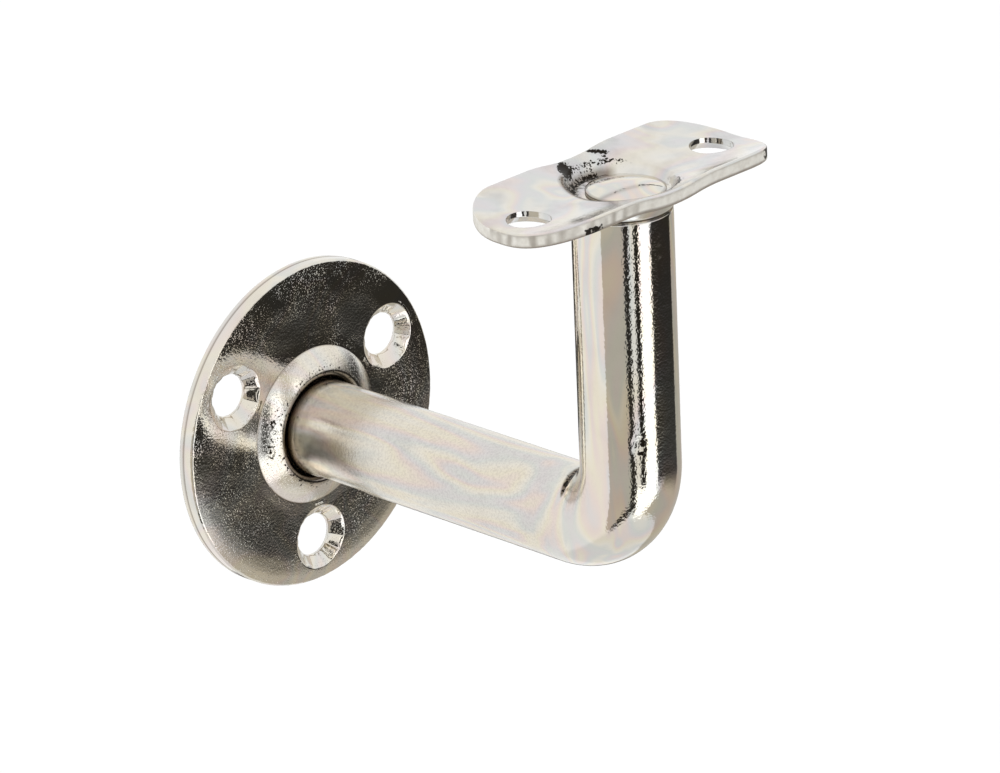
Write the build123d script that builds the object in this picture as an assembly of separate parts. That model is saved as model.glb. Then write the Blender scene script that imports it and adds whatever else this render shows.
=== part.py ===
from build123d import *
import math
import os

# Overall sizes: wall to the front of the arm, and arm's underside to the saddle's rim
PROJECTION = 72.0
HEIGHT = 60.0

# Wall plate: a pressed disc with a turned-back rim
PLATE_DIAMETER = 48.0
PLATE_DEPTH = 3.0
PLATE_SHEET = 2.0
RIM_WALL = 2.0
RIM_FRONT_ROUND = 0.7
RIM_BACK_ROUND = 0.3

# Rolled collar round the seat of the bar
COLLAR_DIAMETER = 23.2
COLLAR_HEIGHT = 1.8
LIP_ROUND = 1.0
LIP_DEPTH = 1.2
MOUTH_CLEARANCE = 0.25

# Screw holes in the wall plate
WALL_HOLE_COUNT = 3
WALL_HOLE_CIRCLE = 35.0
WALL_HOLE_DIAMETER = 6.2
WALL_SINK_DIAMETER = 9.6
FIRST_HOLE_ANGLE = 30.0

# Bent bar, with the mark that a clamping die leaves low on its side near the wall plate
BAR_DIAMETER = 14.0
BEND_RADIUS = 10.5
SHOULDER_CHAMFER = 0.4
GRIP_START = 3.0
GRIP_LENGTH = 10.5
GRIP_DEPTH = 0.35
GRIP_ANGLE = 155.0

# Spigots that pass through the plates, and their peened heads
SPIGOT_CLEARANCE = 0.1
WALL_SPIGOT_DIAMETER = 9.0
WALL_HEAD_DIAMETER = 12.4
WALL_HEAD_HEIGHT = 1.1
SADDLE_SPIGOT_DIAMETER = 8.0
SADDLE_HEAD_DIAMETER = 11.6
SADDLE_HEAD_HEIGHT = 1.2
HEAD_EDGE = 0.4

# Saddle: a trough-shaped plate that the rail lies in
SADDLE_LENGTH = 47.0
SADDLE_WIDTH = 20.0
SADDLE_SHEET = 2.0
TROUGH_RADIUS = 26.0
END_FLAT = 3.0
SADDLE_EDGE_ROUND = 0.4

# Sag of the saddle's middle, pressed down by the riveting
SAG_DEPTH = 0.65
SAG_REACH = 9.0

# Dish round the saddle's rivet head, and the bulge that it makes underneath
DISH_DEPTH = 0.55
DISH_DIAMETER = 14.2
DISH_WALL_RUN = 0.35
DISH_FOOT_ROUND = 0.5
BULGE_FLARE = 0.4
BULGE_ROOT = 0.5

# Screw holes in the saddle, countersunk from below
SADDLE_HOLE_COUNT = 2
SADDLE_HOLE_SPACING = 36.0
SADDLE_HOLE_DIAMETER = 6.2
SADDLE_SINK_DIAMETER = 8.4

# Cone angle of every countersink
SINK_ANGLE = 90.0

# Room that a cutter takes beyond the face it cuts, and the play of a comparison
OVERCUT = 5.0
SAME_PLACE = 0.01

QUARTER_TURN = 90.0
HALF_TURN = 180.0

# Places that follow from the sizes above
bar_radius = BAR_DIAMETER / 2
plate_radius = PLATE_DIAMETER / 2
collar_crest = PLATE_DEPTH + COLLAR_HEIGHT
seat_height = collar_crest - LIP_DEPTH
seat_back = seat_height - PLATE_SHEET
plate_back = PLATE_DEPTH - PLATE_SHEET
leg_distance = PROJECTION - bar_radius
rounding_arc = TROUGH_RADIUS + SADDLE_EDGE_ROUND
rounding_centre = SADDLE_WIDTH / 2 - SADDLE_EDGE_ROUND
trough_rise = rounding_arc - math.sqrt(rounding_arc**2 - rounding_centre**2)
trough_floor = HEIGHT - bar_radius - trough_rise
dish_floor = -SAG_DEPTH - DISH_DEPTH
shoulder_height = trough_floor + dish_floor - SADDLE_SHEET

# The bar leaves the wall along -Y and turns up along +Z; the saddle runs along X
WALL_SECTION = Plane(origin=(0, 0, 0), x_dir=(1, 0, 0), z_dir=(0, 0, -1))
OUT_OF_WALL = Plane(origin=(0, 0, 0), x_dir=(1, 0, 0), z_dir=(0, -1, 0))
INTO_WALL = Plane(origin=(0, -seat_height, 0), x_dir=(1, 0, 0), z_dir=(0, 1, 0))
UP_FROM_LEG = Pos(0, -leg_distance, shoulder_height)

HANGING = (Align.CENTER, Align.CENTER, Align.MAX)
STANDING = (Align.CENTER, Align.CENTER, Align.MIN)


def plate_profile():
    """Half section of the wall plate: radius along x, distance from the wall along y."""
    bore = WALL_SPIGOT_DIAMETER / 2 + SPIGOT_CLEARANCE
    mouth = bar_radius + MOUTH_CLEARANCE
    lip_foot = (mouth, collar_crest - LIP_ROUND)
    crest = (mouth + LIP_ROUND, collar_crest)
    crease = (COLLAR_DIAMETER / 2, PLATE_DEPTH)
    rim_inside = plate_radius - RIM_WALL
    groove_start = (mouth + LIP_ROUND / 2, seat_back)
    groove_crest = ((crest[0] + crease[0] - LIP_ROUND) / 2, collar_crest - PLATE_SHEET)
    groove_end = (crease[0] - LIP_ROUND / 2, plate_back)
    rim = [(plate_radius, PLATE_DEPTH), (plate_radius, 0), (rim_inside, 0), (rim_inside, plate_back)]
    outline = [
        Polyline((bore, seat_back), (bore, seat_height), (mouth, seat_height), lip_foot),
        TangentArc(crest, lip_foot, tangent=(-1, 0)),
        TangentArc(crest, crease, tangent=(1, 0)),
        Polyline(crease, *rim, groove_end),
        ThreePointArc(groove_end, groove_crest, groove_start),
        Line(groove_start, (bore, seat_back)),
    ]
    return make_face(Curve() + outline)


def sink_tool(hole_diameter, sink_diameter):
    """Cutter for a countersunk hole: mouth at the origin, hole running down -Z."""
    half_angle = math.radians(SINK_ANGLE / 2)
    sink_depth = (sink_diameter - hole_diameter) / 2 / math.tan(half_angle)
    hole = Cylinder(hole_diameter / 2, 2 * OVERCUT, align=HANGING)
    cone = Cone(hole_diameter / 2, sink_diameter / 2, sink_depth, align=HANGING)
    room = Cylinder(sink_diameter / 2, OVERCUT, align=STANDING)
    return hole + cone + room


def rim_edge(plate, level):
    """Outermost circular edge at one distance from the wall."""
    circles = plate.edges().filter_by(GeomType.CIRCLE)
    at_level = circles.filter_by_position(Axis.Y, -level - SAME_PLACE, -level + SAME_PLACE)
    return at_level.sort_by(lambda edge: edge.radius)[-1]


def wall_plate():
    """Pressed disc with rim, collar, spigot hole and countersunk screw holes."""
    plate = revolve(WALL_SECTION * plate_profile(), axis=Axis.Y)
    plate = fillet(rim_edge(plate, PLATE_DEPTH), RIM_FRONT_ROUND)
    plate = fillet(rim_edge(plate, 0), RIM_BACK_ROUND)
    sink = Pos(0, 0, PLATE_DEPTH) * sink_tool(WALL_HOLE_DIAMETER, WALL_SINK_DIAMETER)
    places = PolarLocations(WALL_HOLE_CIRCLE / 2, WALL_HOLE_COUNT, start_angle=FIRST_HOLE_ANGLE)
    return plate - [OUT_OF_WALL * place * sink for place in places]


def riveted_end(spigot_diameter, sheet, head_diameter, head_height):
    """Spigot from the origin up through one sheet, with its low domed head beyond."""
    radius = head_diameter / 2
    outline = [
        Polyline((0, head_height), (0, 0), (radius, 0), (radius, HEAD_EDGE)),
        TangentArc((0, head_height), (radius, HEAD_EDGE), tangent=(1, 0)),
    ]
    head = revolve(Plane.XZ * make_face(Curve() + outline), axis=Axis.Z)
    return Cylinder(spigot_diameter / 2, sheet, align=STANDING) + Pos(0, 0, sheet) * head


def grip_mark():
    """Cutter for the flat that the clamping die leaves, turned about the bar's axis."""
    mark = Box(BAR_DIAMETER, OVERCUT, GRIP_LENGTH, align=(Align.CENTER, Align.MIN, Align.MIN))
    at_side = Pos(0, bar_radius - GRIP_DEPTH, seat_height + GRIP_START)
    return OUT_OF_WALL * Rot(0, 0, GRIP_ANGLE) * at_side * mark


def bent_bar():
    """Round bar from its seat in the wall plate to its shoulder under the saddle."""
    seat = Vector(0, -seat_height, 0)
    run_end = Vector(0, BEND_RADIUS - leg_distance, 0)
    rise_start = Vector(0, -leg_distance, BEND_RADIUS)
    shoulder = Vector(0, -leg_distance, shoulder_height)
    bend = TangentArc(run_end, rise_start, tangent=(0, -1, 0))
    path = Curve() + [Line(seat, run_end), bend, Line(rise_start, shoulder)]
    bar = sweep(Plane(origin=seat, x_dir=(1, 0, 0), z_dir=(0, -1, 0)) * Circle(bar_radius), path=path)
    for axis in (Axis.Y, Axis.Z):
        bar = chamfer(bar.faces().sort_by(axis)[-1].edges(), SHOULDER_CHAMFER)
    return bar - grip_mark()


def arm():
    """Bent bar with its two riveted ends."""
    wall_end = riveted_end(
        WALL_SPIGOT_DIAMETER, PLATE_SHEET, WALL_HEAD_DIAMETER, WALL_HEAD_HEIGHT
    )
    saddle_end = riveted_end(
        SADDLE_SPIGOT_DIAMETER, SADDLE_SHEET, SADDLE_HEAD_DIAMETER, SADDLE_HEAD_HEIGHT
    )
    return bent_bar() + INTO_WALL * wall_end + UP_FROM_LEG * saddle_end


def sag_line():
    """Line of the trough's floor along X, with a smooth sag under the rivet."""
    half_length = SADDLE_LENGTH / 2 + OVERCUT
    left_end = (-half_length, 0, 0)
    left_start = (-SAG_REACH, 0, 0)
    left_knee = (-SAG_REACH / 2, 0, -SAG_DEPTH / 2)
    right_knee = (SAG_REACH / 2, 0, -SAG_DEPTH / 2)
    right_start = (SAG_REACH, 0, 0)
    right_end = (half_length, 0, 0)
    return Curve() + [
        Line(left_end, left_start),
        TangentArc(left_start, left_knee, tangent=(1, 0, 0)),
        ThreePointArc(left_knee, (0, 0, -SAG_DEPTH), right_knee),
        TangentArc(right_start, right_knee, tangent=(-1, 0, 0)),
        Line(right_start, right_end),
    ]


def trough_section():
    """Cross section of the trough's sheet, a little wider than the saddle."""
    half_arc = math.degrees(math.asin((SADDLE_WIDTH / 2 + SADDLE_SHEET) / TROUGH_RADIUS))
    radii = (TROUGH_RADIUS, TROUGH_RADIUS + SADDLE_SHEET)
    first = -QUARTER_TURN - half_arc
    upper, under = [CenterArc((0, TROUGH_RADIUS), radius, first, 2 * half_arc) for radius in radii]
    sides = [Line(upper @ 0, under @ 0), Line(upper @ 1, under @ 1)]
    return make_face(Curve() + [upper, under, *sides])


def saddle_blank():
    """Sagged trough cut to the saddle's outline, with rounded edges."""
    path = sag_line()
    start = Plane(origin=path @ 0, x_dir=(0, 1, 0), z_dir=(1, 0, 0))
    sheet = sweep(start * trough_section(), path=path)
    outline = RectangleRounded(SADDLE_LENGTH, SADDLE_WIDTH, (SADDLE_WIDTH - END_FLAT) / 2)
    blank = sheet & extrude(outline, amount=TROUGH_RADIUS, both=True)
    sides = blank.faces().filter_by(lambda face: abs(face.normal_at().Z) < SAME_PLACE)
    edges = ShapeList(edge for side in sides for edge in side.edges())
    return fillet(edges.filter_by(Axis.Z, reverse=True), SADDLE_EDGE_ROUND)


def rounded_foot(radius, flare, height):
    """Cone that stands on the origin, opens by its flare and has a rounded foot."""
    cone = Cone(radius, radius + flare, height, align=STANDING)
    return fillet(cone.edges().sort_by(Axis.Z)[0], DISH_FOOT_ROUND)


def saddle():
    """Trough-shaped plate, dished round the rivet, with a screw hole near each end."""
    foot = DISH_DIAMETER / 2 - DISH_WALL_RUN
    dish = rounded_foot(foot, DISH_WALL_RUN * OVERCUT / DISH_DEPTH, OVERCUT)
    root = DISH_DEPTH + SADDLE_SHEET - BULGE_ROOT
    bulge = rounded_foot(DISH_DIAMETER / 2, BULGE_FLARE, root)
    bore = Cylinder(SADDLE_SPIGOT_DIAMETER / 2 + SPIGOT_CLEARANCE, 2 * OVERCUT)
    sink = Rot(HALF_TURN, 0, 0) * sink_tool(SADDLE_HOLE_DIAMETER, SADDLE_SINK_DIAMETER)
    places = GridLocations(SADDLE_HOLE_SPACING, 0, SADDLE_HOLE_COUNT, 1)
    plate = saddle_blank() + Pos(0, 0, dish_floor - SADDLE_SHEET) * bulge
    plate = plate - Pos(0, 0, dish_floor) * (dish + bore)
    plate = plate - [place * Pos(0, 0, -SADDLE_SHEET) * sink for place in places]
    return Pos(0, -leg_distance, trough_floor) * plate


os.makedirs("parts", exist_ok=True)
export_step(wall_plate(), "parts/wall_plate.step")
export_step(arm(), "parts/arm.step")
export_step(saddle(), "parts/saddle.step")
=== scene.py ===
import math

import bmesh
import bpy
import numpy as np
from mathutils import Matrix, Vector, noise


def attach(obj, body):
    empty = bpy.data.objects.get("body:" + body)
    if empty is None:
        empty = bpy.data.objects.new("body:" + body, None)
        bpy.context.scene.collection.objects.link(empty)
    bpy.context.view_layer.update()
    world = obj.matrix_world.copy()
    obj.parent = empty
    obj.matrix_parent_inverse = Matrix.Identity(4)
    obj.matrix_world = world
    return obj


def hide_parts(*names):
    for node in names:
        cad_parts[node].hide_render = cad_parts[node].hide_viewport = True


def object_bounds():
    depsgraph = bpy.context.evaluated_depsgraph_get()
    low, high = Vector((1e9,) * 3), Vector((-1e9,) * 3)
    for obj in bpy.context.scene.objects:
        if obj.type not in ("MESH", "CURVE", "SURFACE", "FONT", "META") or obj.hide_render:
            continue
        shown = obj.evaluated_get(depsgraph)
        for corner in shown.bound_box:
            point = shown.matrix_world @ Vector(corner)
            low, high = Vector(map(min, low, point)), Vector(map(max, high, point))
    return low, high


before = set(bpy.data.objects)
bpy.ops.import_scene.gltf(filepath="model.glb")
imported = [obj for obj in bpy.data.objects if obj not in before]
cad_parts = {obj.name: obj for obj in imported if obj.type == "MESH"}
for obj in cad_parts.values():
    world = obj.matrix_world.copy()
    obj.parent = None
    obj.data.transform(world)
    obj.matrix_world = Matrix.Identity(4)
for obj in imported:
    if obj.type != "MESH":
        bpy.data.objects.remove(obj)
cad_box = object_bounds()

MM = 0.001
FULL_TURN = 2 * math.pi

# Camera: where it looks, from where, and its lens
CAMERA_AZIMUTH = -45.12
CAMERA_ELEVATION = 21.99
CAMERA_ROLL = -2.33
CAMERA_DISTANCE = 1114.8
CAMERA_AIM = (0.0, -31.0, 15.0)
CAMERA_SHIFT_RIGHT = 6.73
CAMERA_SHIFT_UP = -1.99
CAMERA_CLIP = (0.1, 20.0)
SENSOR_WIDTH = 36.0
LENS = 288.0

# Stage
FLOOR_DROP = 160.0
FLOOR_RADIUS = 3000.0
FLOOR_CORNERS = 96
FLOOR_TONE = 0.99
FLOOR_ROUGHNESS = 0.9

# Sizes in millimetres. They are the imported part's, but for the front of the plate's rim, which
# has a smaller round here and falls off toward it
PLATE_RADIUS = 24.0
PLATE_DEPTH = 3.0
PLATE_BACK = 1.0
RIM_INSIDE = 22.0
RIM_FRONT_ROUND = 0.35
RIM_FALL = 0.4
RIM_FALL_WIDTH = 4.0
RIM_BACK_ROUND = 0.3
EDGE_LEVEL = PLATE_DEPTH - RIM_FALL
CREASE_RADIUS = 11.6
COLLAR_CREST = 4.8
MOUTH_RADIUS = 7.25
LIP_ROUND = 1.0
LIP_RADIUS = MOUTH_RADIUS + LIP_ROUND
SEAT_HEIGHT = 3.6
SEAT_BACK = 1.6
WALL_BORE_RADIUS = 4.6
GROOVE_END = 11.1
GROOVE_START = 7.75
GROOVE_CREST = (9.425, 2.8)
WALL_HOLE_CIRCLE_RADIUS = 17.5
WALL_HOLE_RADIUS = 3.1
WALL_SINK_RADIUS = 4.8
WALL_HOLE_ANGLES = (30.0, 150.0, 270.0)

BAR_RADIUS = 7.0
BEND_RADIUS = 10.5
LEG_DISTANCE = 65.0
SHOULDER_HEIGHT = 47.992
SHOULDER_CHAMFER = 0.4
HEAD_EDGE = 0.4
HEAD_BREAK = 0.08
WALL_SPIGOT_RADIUS = 4.5
WALL_HEAD_RADIUS = 6.2
WALL_HEAD_HEIGHT = 1.1
SADDLE_SPIGOT_RADIUS = 4.0
SADDLE_HEAD_RADIUS = 5.55
SADDLE_HEAD_HEIGHT = 1.2
SHEET = 2.0

# The saddle, in its own frame: x along it, y across it, z up from the trough's floor
SADDLE_HALF_LENGTH = 23.5
SADDLE_HALF_WIDTH = 10.0
SADDLE_CORNER = 8.5
SADDLE_EDGE = 0.4
SADDLE_RIM = 1.808
TROUGH_FLOOR = 51.192
TROUGH_RADIUS = 26.0
SAG_DEPTH = 0.65
SAG_REACH = 9.0
DISH_FLOOR = -1.2
DISH_FOOT = 6.75
DISH_SLOPE = 0.35 / 0.55
DISH_FOOT_PLAY = 0.35
DISH_RIM_PLAY = 0.25
DISH_RIM_REACH = 9.0
BULGE_RADIUS = 7.1
BULGE_FLARE = 0.4
BULGE_ROUND = 0.5
BULGE_ROUND_IN = 0.45
SADDLE_BORE_RADIUS = 4.1
SADDLE_HOLE_PLACE = 18.0
SADDLE_HOLE_RADIUS = 3.1
SADDLE_SINK_RADIUS = 4.2

# Lengths along the bar's centre line, from its seat in the wall plate
RUN_LENGTH = LEG_DISTANCE - BEND_RADIUS - SEAT_HEIGHT
BEND_LENGTH = BEND_RADIUS * math.pi / 2
BAR_LENGTH = RUN_LENGTH + BEND_LENGTH + SHOULDER_HEIGHT - BEND_RADIUS
# The saddle's rivet head sits a little off the leg's axis
HEAD_SHIFT = np.array([0.42, -0.42, 0.0])

# Rows of the skins: how many there are, how far the extra ones lie beside a sharp edge, and
# the play of a comparison between them
AROUND_BAR = 220
ALONG_BAR = 360
DOME_ROWS = 14
BESIDE = 0.05
PLAY = 0.01
# Points nearer than this, in metres, are merged
MERGE_DISTANCE = 2e-7
# Steps in the noise from one seed to the next
SEED_STEPS = (17.3, 5.1, 9.7)

# The wall plate's skin: columns round it, the sector and the radii that each screw hole's
# patch fills in front and behind, and its other rows
AROUND_PLATE = 480
PATCH_HALF_ANGLE = 21.0
PATCH_COLUMNS = 57
PATCH_ROWS = 35
PATCH_RINGS = 12
FRONT_FACE = (12.4, 22.3)
BACK_FACE = (12.4, 21.6)
FACE_END = 22.5
FACE_END_RINGS = 7
CREASE_RINGS = (CREASE_RADIUS, 11.65, 11.75, 12.0)
HOLE_MARGIN = 0.4
HOLE_RIMS = (1.05, 1.02, 1.0)
CONE_SHARES = (0, 0.04, 0.1, 0.16, 0.25, 0.4, 0.55, 0.7, 0.8, 0.88, 0.95, 1)
BORE_STEPS = (0.04, 0.15)
FRONT_ROUND_ROWS = 10
FRONT_ROUND_FIRST = 78
BACK_ROUND_ROWS = 5
SIDE_ROWS = 22
SIDE_MARGINS = (0.1, 0.4)
FLANK_ROWS = 20
LIP_ROWS = 10
GROOVE_ROWS = 16
# How near the collar's flank comes to a straight cone
CONE_SHARE = 0.75

# Small forms of the plate: waves of its face with their sizes and seeds, the shear line and
# the jags of its rim, and the cutter's marks in its countersinks
FACE_WAVE = 0.04
FACE_WAVE_FADE = 1.5
FACE_RIPPLES = ((9.0, 1), (3.0, 2))
FINE_RIPPLE = 0.35
RIM_GROOVE_LEVEL = 0.88
RIM_GROOVE_DEPTH = 0.08
RIM_GROOVE_HALF = 0.15
RIM_JAGS = 0.07
JAGS_INSET = (0.1, 0.2)
JAGS_HALVES = (0.15, 0.25)
JAGS_RIPPLE = (0.7, 41)
FACET_COUNT = 17
FACET_UNEVEN = 0.3
CHATTER = 1.6
SCRATCH_DEPTH = 0.012
SCRATCH_SIZE = 0.5
SCRATCH_SEED = 3
CONE_FADES = (0.12, 0.15)

# Small forms of the bar: the die's flat, and the crease from its top to its tip, with
# the shares of that way where it starts, ends and would be pointed
GRIP_ANGLE = 155.0
GRIP_DEPTH = 0.35
GRIP_START = 3.0
GRIP_LENGTH = 10.5
GRIP_LEAST_COSINE = 0.5
CREASE_TOP = (55.6, 1.2)
CREASE_TIP = (54.7, 6.0)
CREASE_HALF = 3.4
CREASE_LEAST_HALF = 0.05
CREASE_DEPTH = 0.2
CREASE_START, CREASE_START_FADE = -0.4, 0.3
CREASE_END, CREASE_END_FADE = 1.1, 0.2
CREASE_POINT = 1.15
CREASE_STEEP = 1.3
CREASE_WRINKLE = 0.8
CREASE_RIPPLE = (0.5, 7)
CREASE_STRETCH = 0.5
# Dents on the bar: place along and round it, half sizes, depth and seed
DENTS = (
    ((72.4, 17.5), (1.2, 0.8), 0.12, 31),
    ((99.0, 22.1), (2.6, 0.6), 0.05, 32),
)
DENT_RAG = 0.9
DENT_RIPPLE = 0.45

# The saddle's skin: the two seams across it, and the points and rings of its three cells
SEAM = 9.0
SEAM_ROWS = 61
CORNER_POINTS = 44
END_POINTS = 11
STRAIGHT_POINTS = 22
UPPER_CELL, UPPER_HOLE_RINGS = 16, (3.6, 3.35, 3.2, 3.14, SADDLE_HOLE_RADIUS)
UNDER_CELL, UNDER_HOLE_RINGS = 12, (4.7, 4.4, 4.24, SADDLE_SINK_RADIUS)
MIDDLE_CELL, BULGE_RINGS = 10, (8.2, 7.9, 7.7, 7.6, BULGE_RADIUS + BULGE_FLARE)
DISH_RINGS = (*np.arange(8.2, 5.7, -0.1), 5.4, 5.0, 4.5, SADDLE_BORE_RADIUS)
BULGE_FOOT_RADII = (SADDLE_BORE_RADIUS, 5.4, 6.4)
BULGE_ROUND_ROWS = 8
BULGE_ROUND_LAST = -8
BULGE_FLARE_SHARES = (0.3, 0.6, 0.9, 1)
THROAT_SHARES = (0, 0.06, 0.3, 0.7, 0.94, 1)
SINK_SHARES = (0.06, 0.5, 0.94, 1)
EDGE_CORNER_ROWS = 7
EDGE_SHARES = (0.2, 0.4, 0.6, 0.8)

# The torn wall of the dish: depth, ring, two ripples, and the side where it is most torn
TORN_DEPTH = 0.3
TORN_RING = (6.7, 0.7)
TORN_RIPPLES = ((0.9, 11), (0.4, 12))
TORN_FINE = 0.7
TORN_LEAST = 0.2
TORN_SIDE, TORN_SIDE_HALF = 118, 60
BLOT_DEPTH = 0.12
# Dark, dented blots on the saddle's upper side: place, half sizes, slant and darkness
SADDLE_BLOTS = (
    ((-2.5, 8.1), (2.2, 1.2), 48.0, 1.0),
    ((4.6, 8.7), (2.0, 0.5), -38.0, 1.0),
    ((4.6, 7.5), (1.2, 0.5), 70.0, 0.6),
    ((1.5, 7.4), (2.6, 0.45), 5.0, 0.45),
)

# Paint. A stroke has the distance where its middle lies, its half width and its strength. A
# sector has its middle and half its width, in degrees, and fades out over this many
SECTOR_FADE = 12.0
BAND_TOP = 1.6
MOUTH_DARKEST = 0.65

# Paint of the plate: its strokes, where they start, and the clusters of its peel
CREST_GRIME = (1.2, 0.9, 0.34)
FLANK_GRIME, FLANK_SECTOR = (10.0, 1.2, 0.42), (172.0, 24.0)
FLANK_FROM = PLATE_DEPTH + 0.1
# Brown painted shade: in the shear groove round the rim, in the mouth where the bar goes in, and in the
# crease
RIM_SHADE, RIM_SHADE_DEPTH = (RIM_GROOVE_LEVEL, 0.17, 0.62), 0.15
MOUTH_SHADE_REACH, MOUTH_SHADE_FADE = 1.5, 1.1
MOUTH_SHADE_FROM = SEAT_HEIGHT + 0.05
CREASE_SHADE, CREASE_SHADE_FROM = (CREASE_RADIUS, 0.1, 0.7), PLATE_DEPTH - 0.2
COLLAR_SATIN, COLLAR_SATIN_PAST, COLLAR_SATIN_FADE = 0.45, 0.1, 0.3
PEEL_FROM = 2.0
PEEL_MEAN, PEEL_LEAST = 0.5, 0.1
PEEL_SLOW, PEEL_SLOW_RIPPLE = 0.72, (8.0, 51)
PEEL_CLUSTERS, PEEL_CLUSTER_RIPPLE = 0.5, (2.6, 52)
COLLAR_PEEL = 0.5

# Paint of the bar, by the place along it, round it or across its upper head
# Painted shade in the crease at the inside of the bend: near-black, then brown, and how dark the brown
# gets
ARM_CREASE_DARK_SHADE = 0.62
CREASE_BROWN, CREASE_DARKEST = 1.7, 0.9
# Dark spots of painted shade in the pit: place along and round the bar, and half sizes
SPOTS = (
    ((72.8, 18.1), (0.9, 0.35)),
    ((71.2, 17.8), (0.3, 0.5)),
)
SPOT_DARK_SHADE = 1.2
LEG_PEEL_SECTOR, LEG_PEEL_FADE = (148.0, 24.0), 8.0
BELT_PEEL, BELT_SECTOR = (10.5, 4.0, 0.7), (120.0, 45.0)
# Brown painted shade: in the collar's mouth, under the saddle's bulge at the shoulder, round the head's
# rim and in a furrow across the head
SEAT_SHADE_END, SEAT_SHADE_FADE = 1.9, 1.3
SHOULDER_SHADE = (BAR_LENGTH, 0.35, 0.8)
HEAD_RIM_SHADE = (SADDLE_HEAD_RADIUS, 0.15, 0.6)
FURROW_SHADE, FURROW_SLOPE, FURROW_END = (-2.3, 0.5, 0.35), 0.3, 2.0
RUN_SATIN, RUN_SATIN_PAST, RUN_SATIN_FADE = 0.8, 6.0, 10.0
CORNER_SATIN_PLACE, CORNER_SATIN_HALVES = (61.5, 7.0), (6.0, 2.6)
HEAD_SATIN = 0.5
HEAD_FROM = TROUGH_FLOOR + DISH_FLOOR
HEAD_TOP_FROM = HEAD_FROM + 0.6
# Crack of the upper head: a point on it, its slope, the bend of its right end and its wander
CRACK_POINT = (-1.0, -1.9)
CRACK_SLOPE = -0.27
CRACK_BEND, CRACK_BEND_FROM = -0.10, 0.5
CRACK_WANDER, CRACK_RIPPLE = 0.25, (1.2, 21)
CRACK_DEEP_FROM, CRACK_DEEP, CRACK_SHALLOW = 0.8, 0.95, 0.5
CRACK_REACH = 3.6
CRACK_HALF = 0.2

# Paint of the saddle: strokes round its dish with their sectors, then those of its edge by the
# height above its under side
DISH_WALL_DARK = ((6.55, 0.55, 0.62), (122, 52))
# Near-black painted shade along the rim of the dish, where its edge stands against the head
DISH_RIM_DARK_SHADE = (
    ((0.0, 0.35, 0.5), (105, 70)),
    ((0.1, 0.3, 0.75), (-66, 24)),
    ((0.05, 0.16, 0.55), (205, 50)),
)
# Brown painted shade on the torn wall of the dish, at its rim and at its foot round the head
DISH_WALL_SHADE = ((6.6, 0.6, 0.75), (115, 62))
DISH_RIM_SHADE = ((0.15, 0.3, 1.0), (200, 80))
DISH_FOOT_SHADE = ((6.3, 0.35, 0.6), (190, 80))
ON_TOP_FROM = TROUGH_FLOOR + DISH_FLOOR - 0.1
EDGE_PATCH_PLACE, EDGE_PATCH_HALF, EDGE_PATCH_TOP, EDGE_PATCH_DARK = -16.4, 2.6, 1.0, 0.8
EDGE_MARGIN = 0.3
EDGE_WEDGE = ((19.9, -8.4), (1.9, 1.0), 33)
EDGE_WEDGE_LEVELS, EDGE_WEDGE_FROM, EDGE_WEDGE_DARK = (0.35, 1.9), 14.5, 0.9
EDGE_TOP = 1.85
# Lines of brown painted shade along the foot and the head of the edge
EDGE_FOOT_SHADE = (0.15, 0.2, 0.8)
EDGE_HEAD_SHADE = (1.75, 0.15, 0.4)
STREAK_RIPPLE, STREAK_STRETCH = (1.1, 61), 0.2
STREAK_DARK, STREAK_MEAN, STREAK_CONTRAST = 0.55, 0.35, 1.6
STREAK_ENDS = (-7, 2)
# The faces that get the cut edge's metal: how far out they lie and how level they may be
CUT_MARGIN, CUT_FROM, CUT_TURN = 0.2, 14.0, 0.5

# Brightness of the surroundings where no patch lies, and the tone of patches darker than this
WHITE = 1.03
WARM_BELOW = 0.8
WARM = (1.06, 0.99, 0.86)
# Surroundings that the metal mirrors, each laid over those before it. In degrees: azimuth and
# elevation, half widths, softness each way, then the rise per degree of azimuth and the lean
# per degree of elevation. Last comes the brightness
SURROUNDINGS = (
    ("lamp", (263.0, -20.0), (26.0, 38.0), (1.5, 1.5), 0.0, 0.0, 1.7),
    ("low grey", (343.0, -40.0), (57.0, 16.0), (2.5, 2.5), 0.0, 1.6, 0.52),
    ("far dark", (320.0, -12.0), (34.0, 16.0), (2.0, 7.0), 0.0, 0.0, 0.028),
    ("far grey", (17.0, -20.0), (24.0, 10.0), (3.0, 3.0), 0.0, 0.0, 0.5),
    ("side grey", (198.0, -26.0), (25.0, 28.0), (0.7, 0.7), 0.0, 0.0, 0.56),
    ("between stands", (240.5, -9.0), (8.0, 22.0), (1.0, 2.0), 0.0, 0.0, 0.95),
    ("left stand", (229.0, -20.0), (6.0, 30.0), (1.5, 1.5), 0.0, 0.0, 0.03),
    ("right stand", (252.0, -7.0), (6.0, 22.0), (1.5, 1.5), 0.0, 0.0, 0.02),
    ("table edge", (208.0, -51.0), (30.0, 3.5), (1.5, 1.5), 0.22, 0.0, 0.03),
    ("table", (180.0, -76.0), (181.0, 20.0), (3.0, 3.0), 0.0, 0.0, 0.87),
    ("near dark", (60.0, -25.0), (21.0, 10.0), (2.5, 2.5), 0.0, 0.0, 0.04),
)


def srgb(red, green, blue):
    """Colour as it shows on screen, from 0 to 1, turned into linear light."""
    def linear(value):
        if value <= 0.04045:
            return value / 12.92
        return ((value + 0.055) / 1.055) ** 2.4
    return (linear(red), linear(green), linear(blue), 1.0)


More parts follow.
